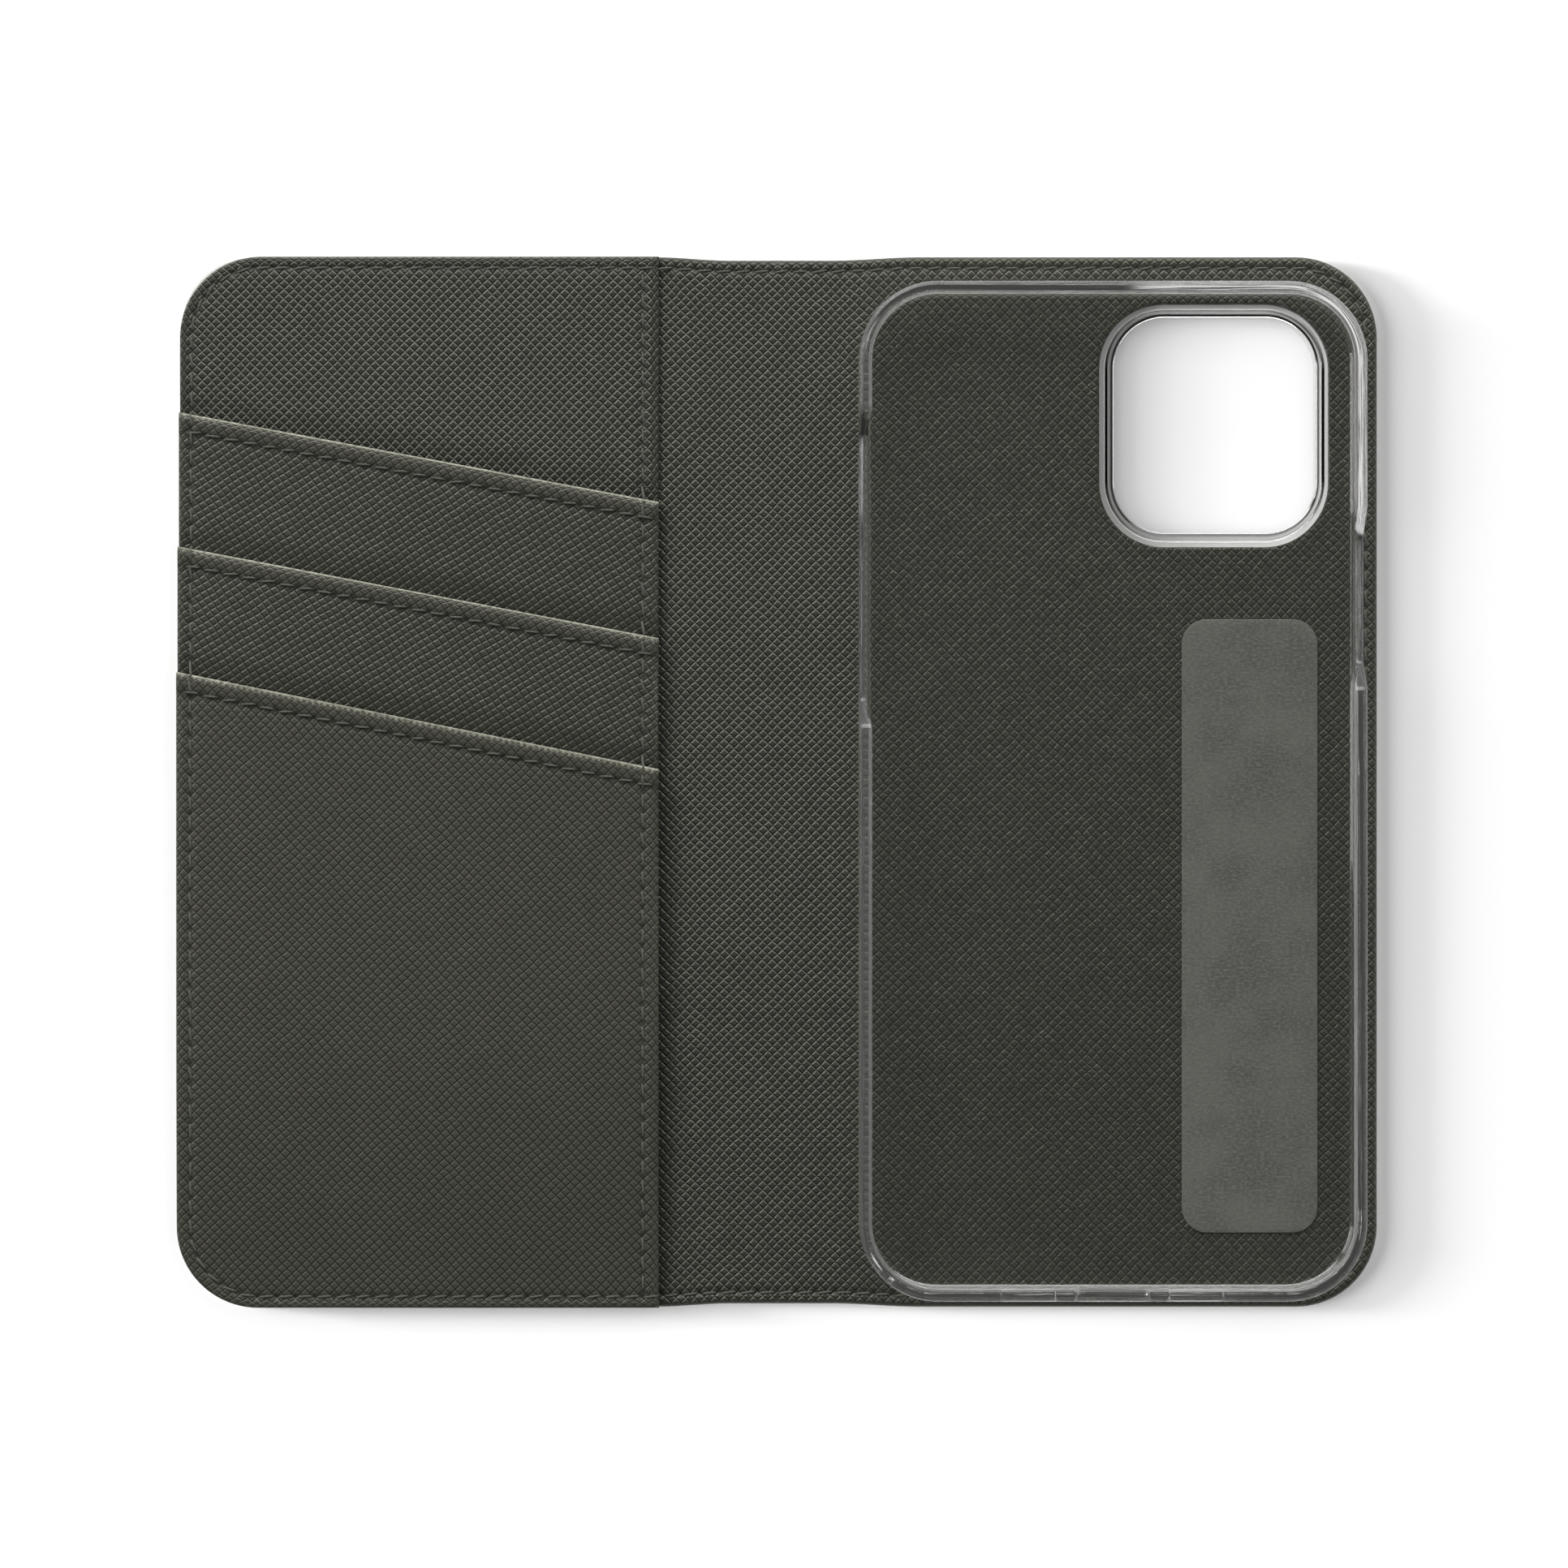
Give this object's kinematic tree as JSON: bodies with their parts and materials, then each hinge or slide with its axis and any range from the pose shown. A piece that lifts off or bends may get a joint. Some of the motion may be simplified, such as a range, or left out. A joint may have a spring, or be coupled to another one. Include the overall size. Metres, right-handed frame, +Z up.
{
  "type": "phone wallet case",
  "caption": "Open leather folio for a phone: a clear snap-in shell bonded to the back cover, a soft spine, and a front cover with stitched card pockets and a bill pocket.",
  "frame": {"origin": "middle of the open case's outline, on the surface that it lies on", "axes": "+X from the front cover over the spine to the back cover, +Y towards the top of the phone, +Z up out of the inside of the open case"},
  "size_m": [0.1778, 0.1556, 0.0117],
  "materials": {
    "outer_leather": "smooth, satin",
    "lining_leather": "crosshatch grain, semi-matt",
    "stiffener_board": "grey fibre board",
    "clear_shell": "clear polycarbonate, glossy",
    "bond_felt": "thin grey felt",
    "thread": "twisted polyester thread"
  },
  "bodies": {
    "back_cover": {"back_outer_skin": "outer_leather", "back_stiffener_board": "stiffener_board", "back_lining": "lining_leather", "shell_bond_strip": "bond_felt", "phone_shell": "clear_shell", "thread_back_perimeter": "thread", "back_crease_skin": "outer_leather", "back_crease_lining": "lining_leather"},
    "spine": {"spine_outer_skin": "outer_leather", "spine_stiffener_strip": "stiffener_board", "spine_lining": "lining_leather", "thread_spine_ends": "thread"},
    "front_cover": {"front_outer_skin": "outer_leather", "front_stiffener_board": "stiffener_board", "front_lining": "lining_leather", "pocket_base_panel": "lining_leather", "card_pocket_upper": "lining_leather", "card_pocket_middle": "lining_leather", "card_pocket_lower": "lining_leather", "thread_front_perimeter": "thread", "thread_panel_edge": "thread", "thread_mouth_upper": "thread", "thread_mouth_middle": "thread", "thread_mouth_lower": "thread", "thread_floor_upper": "thread", "thread_floor_middle": "thread", "front_crease_skin": "outer_leather", "front_crease_lining": "lining_leather"}
  },
  "joints": [
    {"name": "back_crease", "type": "hinge", "parent": "back_cover", "child": "spine", "pos_m": [0.0075, 0, 0.0012], "axis": [0, 1, 0], "range_deg": [-90, 90], "deforming": ["back_crease_skin", "back_crease_lining"]},
    {"name": "front_crease", "type": "hinge", "parent": "spine", "child": "front_cover", "pos_m": [-0.0075, 0, 0.0012], "axis": [0, 1, 0], "range_deg": [-90, 90], "deforming": ["front_crease_skin", "front_crease_lining"]}
  ]
}
